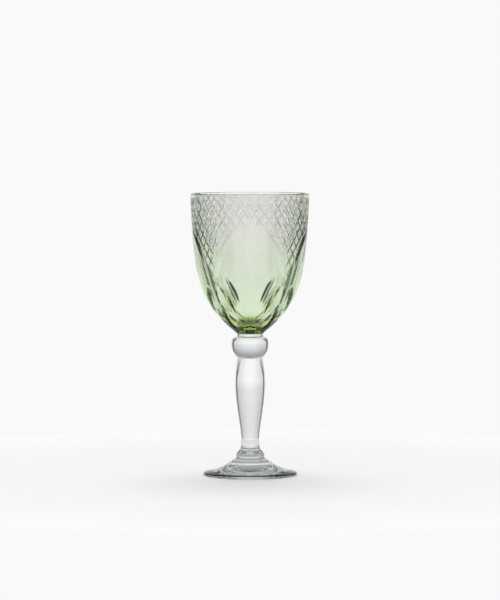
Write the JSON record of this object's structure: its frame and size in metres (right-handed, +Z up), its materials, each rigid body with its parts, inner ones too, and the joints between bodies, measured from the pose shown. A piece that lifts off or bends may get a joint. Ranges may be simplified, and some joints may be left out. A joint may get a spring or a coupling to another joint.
{
  "type": "wine glass",
  "caption": "Footed wine glass: green pressed bowl with pointed petals under a diamond lattice, on a clear baluster stem with knop and spreading foot.",
  "frame": {"origin": "middle of the foot's resting ring, on the table plane", "axes": "+Z up the stem towards the rim, along the axis of the whole glass; a petal of the bowl's relief faces -Y"},
  "size_m": [0.08, 0.08, 0.1898],
  "materials": {
    "green_glass": "fire-polished pressed glass, mossy green right through, darker where it is thick",
    "clear_glass": "fire-polished clear glass with a faint cool tone"
  },
  "bodies": {
    "root": {"foot": "clear_glass", "foot_flange": "clear_glass", "stem_collar": "clear_glass", "baluster_stem": "clear_glass", "knop": "clear_glass", "neck_wafer": "clear_glass", "bowl": "green_glass"}
  },
  "joints": []
}
